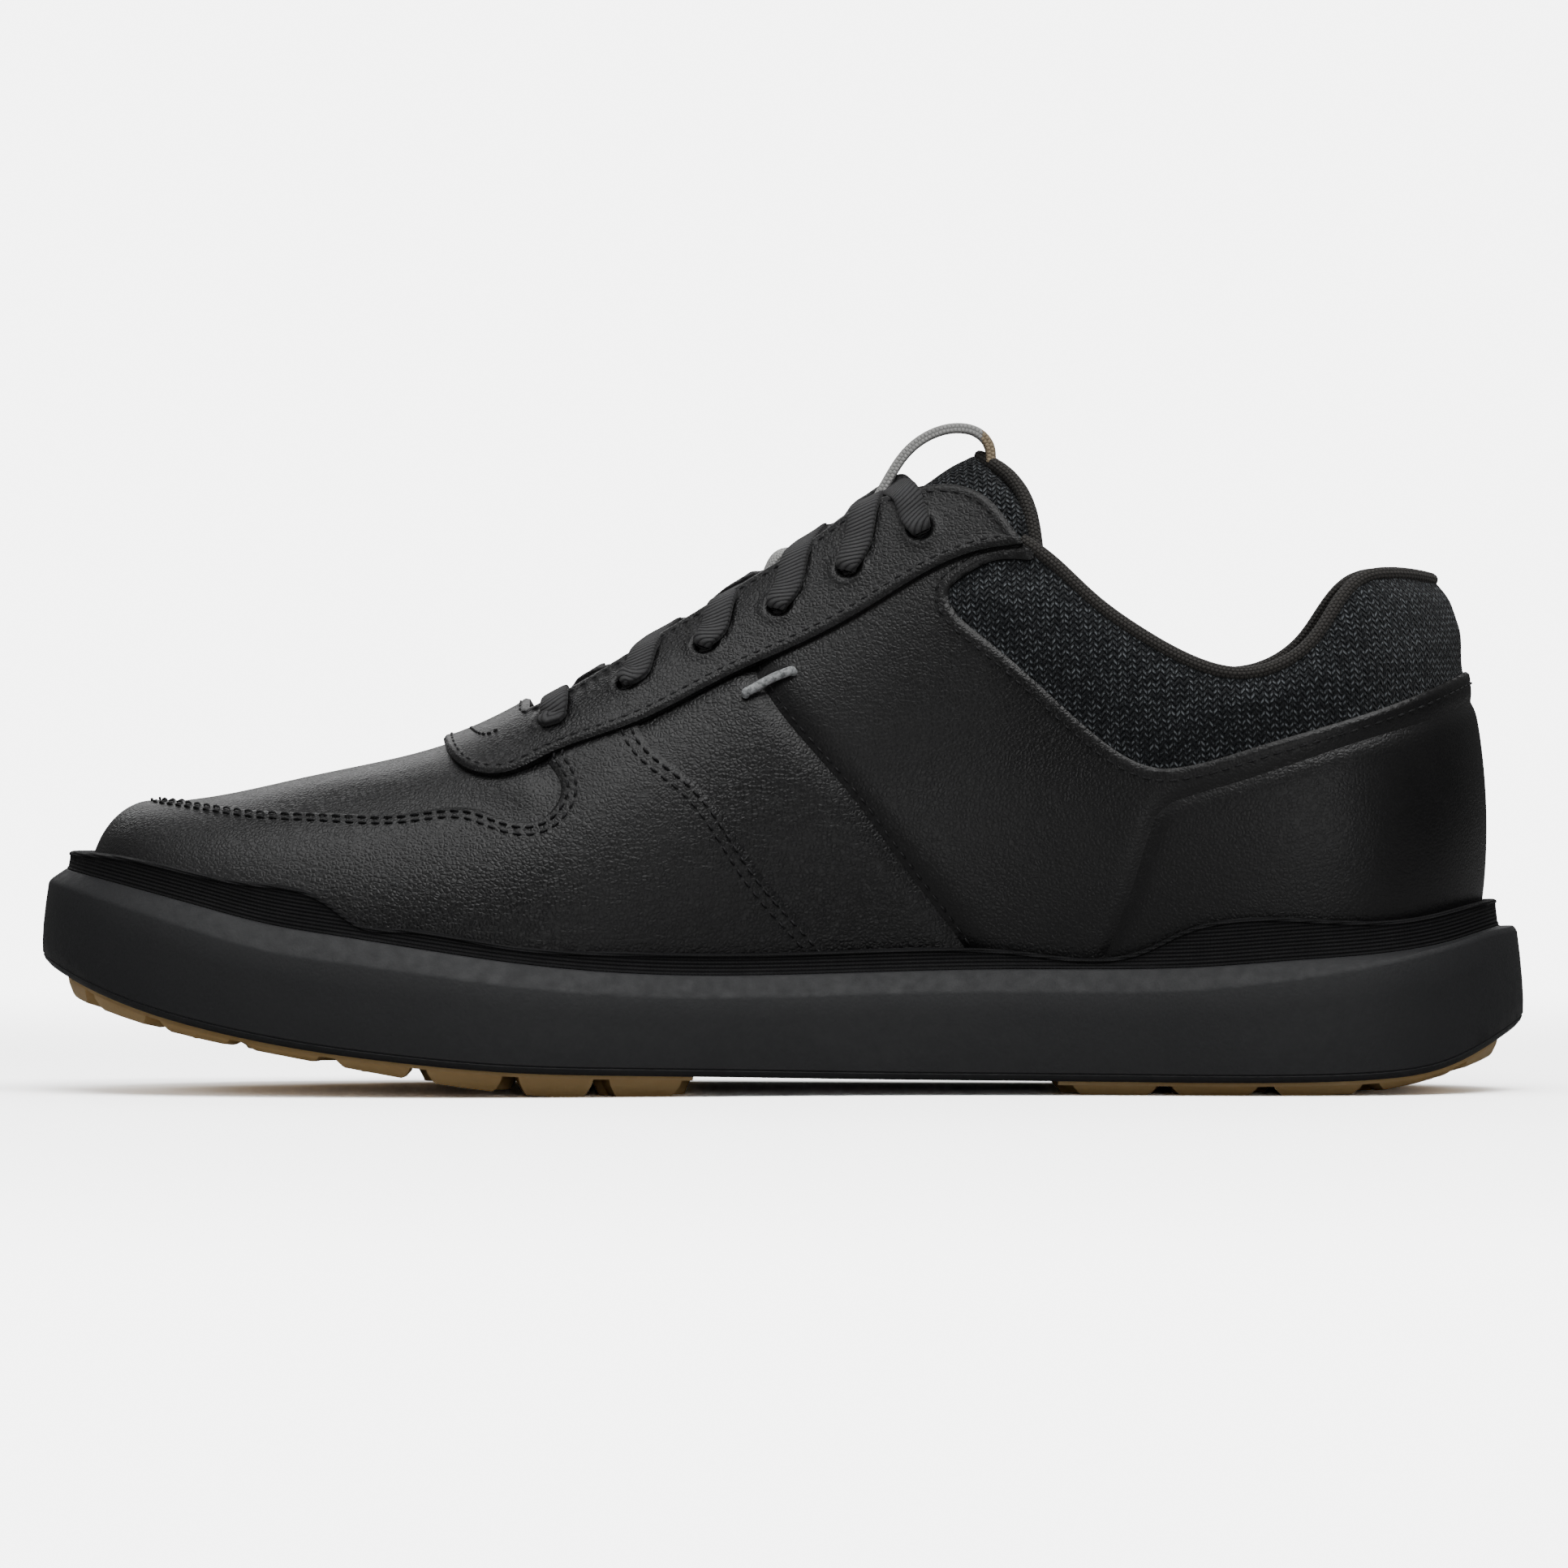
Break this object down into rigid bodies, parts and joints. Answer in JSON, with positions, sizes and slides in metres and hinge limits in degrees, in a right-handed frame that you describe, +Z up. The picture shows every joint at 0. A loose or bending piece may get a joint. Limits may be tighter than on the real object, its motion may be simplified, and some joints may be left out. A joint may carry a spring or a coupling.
{
  "type": "golf shoe",
  "caption": "Low spikeless lace-up golf shoe for the right foot: leather upper, padded collar and tongue with pull loop, foam midsole, lugged rubber outsole, lift-out insole.",
  "frame": {"origin": "on the ground, under the centre of the shoe's box", "axes": "+X towards the toe, +Y towards the medial side, +Z up"},
  "size_m": [0.3, 0.112, 0.135],
  "materials": {
    "gum_rubber": "matte golden gum rubber",
    "midsole_foam": "matte charcoal moulded foam",
    "rand_rubber": "matte black rubber with a fine ribbed texture",
    "stiffener": "plain moulded sheet",
    "board": "stitched non-woven board",
    "insole_foam": "open-cell foam",
    "lining_textile": "brushed knit",
    "leather_grained": "black full-grain leather with fine creases",
    "leather_smooth": "black smooth leather with a soft sheen",
    "knit_mesh": "dark blue-black chevron knit",
    "binding_textile": "ribbed woven binding",
    "padding": "soft foam padding",
    "webbing": "light grey woven webbing",
    "lace_weave": "flat ribbed weave",
    "aglet_plastic": "hard glossy sheath",
    "accent_thread": "thick grey thread"
  },
  "bodies": {
    "shoe": {"outsole_forefoot": "gum_rubber", "outsole_heel": "gum_rubber", "midsole": "midsole_foam", "midsole_rim": "midsole_foam", "rand": "rand_rubber", "shank_plate": "stiffener", "lasting_board": "board", "toe_vamp": "leather_grained", "mudguard": "leather_grained", "midfoot_panel_medial": "leather_grained", "midfoot_panel_lateral": "leather_grained", "quarter_medial": "leather_smooth", "quarter_lateral": "leather_smooth", "heel_counter_cover": "leather_smooth", "eyestay": "leather_grained", "eyestay_backing": "stiffener", "collar_mesh": "knit_mesh", "collar_binding": "binding_textile", "collar_foam": "padding", "collar_lining": "lining_textile", "heel_counter": "stiffener", "heel_lining": "lining_textile", "toe_puff": "stiffener", "vamp_lining": "lining_textile", "quarter_lining_medial": "lining_textile", "quarter_lining_lateral": "lining_textile", "lace": "lace_weave", "aglet_medial": "aglet_plastic", "aglet_lateral": "aglet_plastic", "accent_stitch_medial": "accent_thread", "accent_stitch_lateral": "accent_thread"},
    "tongue": {"tongue_face": "knit_mesh", "tongue_foam": "padding", "tongue_lining": "lining_textile", "tongue_binding": "binding_textile", "pull_strap": "webbing"},
    "pull_loop": {"pull_loop": "webbing"},
    "insole": {"insole_foam": "insole_foam", "insole_cover": "lining_textile"}
  },
  "joints": [
    {"name": "tongue_hinge", "type": "hinge", "parent": "shoe", "child": "tongue", "pos_m": [0.06, 0.004, 0.062], "axis": [0, -1, 0], "range_deg": [0, 8], "stiffness_Nm_per_rad": 0.6, "springref_deg": -4.58},
    {"name": "pull_loop_rock", "type": "hinge", "parent": "tongue", "child": "pull_loop", "pos_m": [-0.0316, 0.004, 0.1278], "axis": [-0.9538, 0, 0.3004], "range_deg": [-25, 25], "stiffness_Nm_per_rad": 0.01},
    {"name": "insole_lift", "type": "hinge", "parent": "shoe", "child": "insole", "pos_m": [0.132, 0.004, 0.0362], "axis": [0, 1, 0], "range_deg": [0, 6]}
  ]
}
